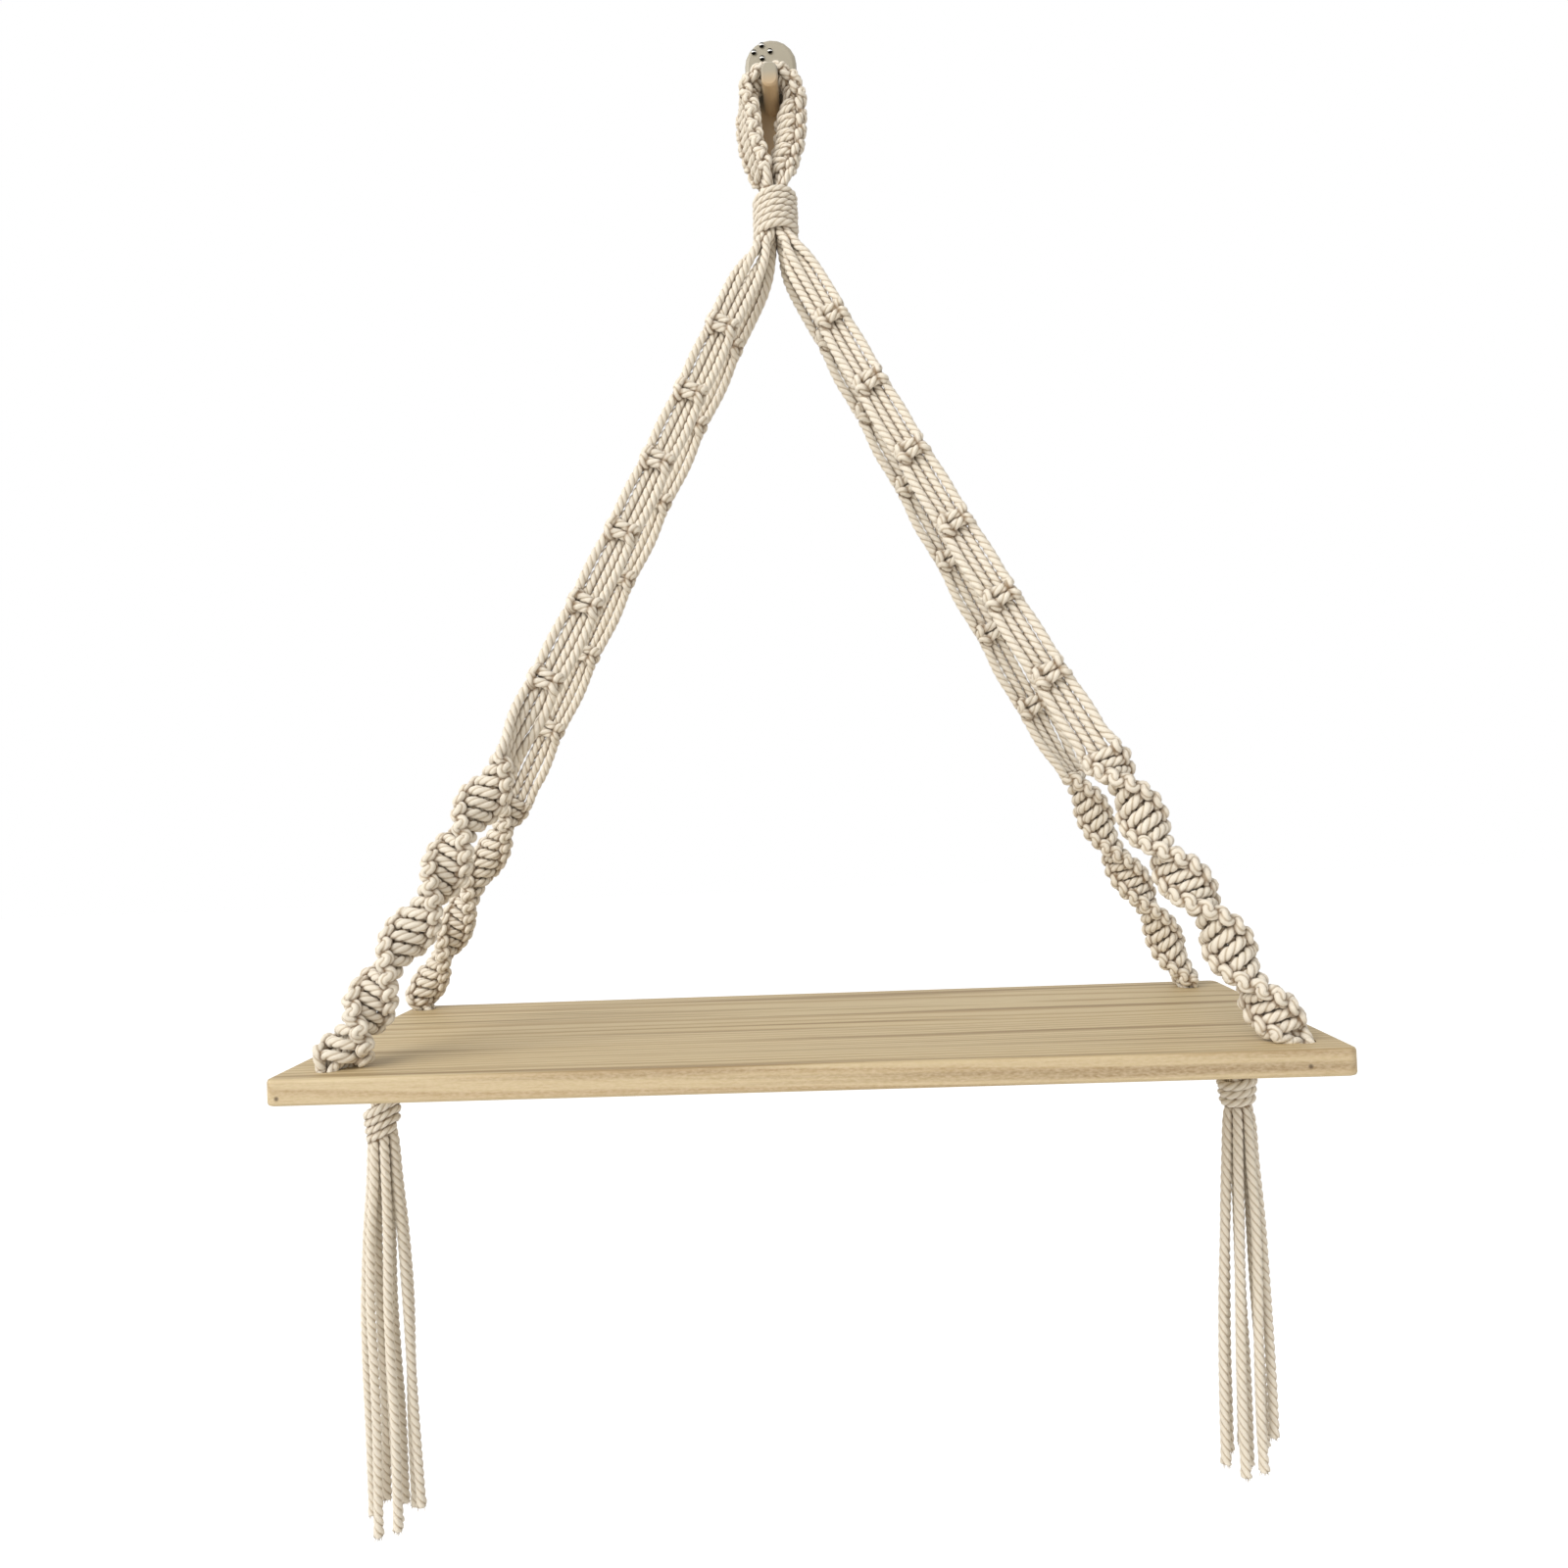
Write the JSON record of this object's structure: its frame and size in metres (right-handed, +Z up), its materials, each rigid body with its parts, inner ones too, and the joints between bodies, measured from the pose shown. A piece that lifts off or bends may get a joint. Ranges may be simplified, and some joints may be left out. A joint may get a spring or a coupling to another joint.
{
  "type": "hanging rope shelf",
  "caption": "Pine board hung from a wall hook by knotted cotton rope straps, with a wrapped loop above and a cut tassel under each end.",
  "frame": {"origin": "middle of the wall hook's flat back, on the wall", "axes": "+Y into the wall, +Z up, +X to the right of someone who faces the shelf"},
  "size_m": [0.4007, 0.152, 0.6952],
  "materials": {
    "board": "bare planed pine, matt",
    "hook": "white moulded plastic, satin",
    "nail": "bright hardened steel",
    "cord": "natural three-ply twisted cotton, matt"
  },
  "bodies": {
    "wall_hook": {"wall_hook": "hook", "hook_nail_top": "nail", "hook_nail_left": "nail", "hook_nail_right": "nail", "hook_nail_bottom": "nail"},
    "hanger": {"hanging_loop": "cord", "top_wrap_core": "cord", "top_wrap_winding": "cord", "front_left_filler_left": "cord", "front_left_filler_right": "cord", "front_left_working_cords": "cord", "front_left_spiral": "cord", "front_left_hole_cords": "cord", "front_right_filler_left": "cord", "front_right_filler_right": "cord", "front_right_working_cords": "cord", "front_right_spiral": "cord", "front_right_hole_cords": "cord", "back_left_filler_left": "cord", "back_left_filler_right": "cord", "back_left_working_cords": "cord", "back_left_spiral": "cord", "back_left_hole_cords": "cord", "back_right_filler_left": "cord", "back_right_filler_right": "cord", "back_right_working_cords": "cord", "back_right_spiral": "cord", "back_right_hole_cords": "cord", "shelf_board": "board"},
    "left_gather": {"front_left_under_cords": "cord", "back_left_under_cords": "cord", "left_knot_core": "cord", "left_knot_winding": "cord"},
    "left_tassel": {"left_tassel_cord_1": "cord", "left_tassel_cord_2": "cord", "left_tassel_cord_3": "cord", "left_tassel_cord_4": "cord", "left_tassel_cord_5": "cord", "left_tassel_cord_6": "cord", "left_tassel_cord_7": "cord", "left_tassel_cord_8": "cord"},
    "right_gather": {"front_right_under_cords": "cord", "back_right_under_cords": "cord", "right_knot_core": "cord", "right_knot_winding": "cord"},
    "right_tassel": {"right_tassel_cord_1": "cord", "right_tassel_cord_2": "cord", "right_tassel_cord_3": "cord", "right_tassel_cord_4": "cord", "right_tassel_cord_5": "cord", "right_tassel_cord_6": "cord", "right_tassel_cord_7": "cord", "right_tassel_cord_8": "cord"}
  },
  "joints": [
    {"name": "shelf_sway", "type": "hinge", "parent": "wall_hook", "child": "hanger", "pos_m": [0, -0.0165, -0.0055], "axis": [0, 1, 0], "range_deg": [-12, 12]},
    {"name": "left_gather_swing", "type": "hinge", "parent": "hanger", "child": "left_gather", "pos_m": [-0.1865, -0.0745, -0.4655], "axis": [-0.0791, 0.9969, 0], "range_deg": [-20, 20]},
    {"name": "right_gather_swing", "type": "hinge", "parent": "hanger", "child": "right_gather", "pos_m": [0.18375, -0.07725, -0.4655], "axis": [-0.029, 0.9996, 0], "range_deg": [-20, 20]},
    {"name": "left_tassel_swing", "type": "hinge", "parent": "left_gather", "child": "left_tassel", "pos_m": [-0.1881, -0.0745, -0.4918], "axis": [1, 0, 0], "range_deg": [-18, 18]},
    {"name": "right_tassel_swing", "type": "hinge", "parent": "right_gather", "child": "right_tassel", "pos_m": [0.18225, -0.07725, -0.4918], "axis": [1, 0, 0], "range_deg": [-18, 18]}
  ]
}
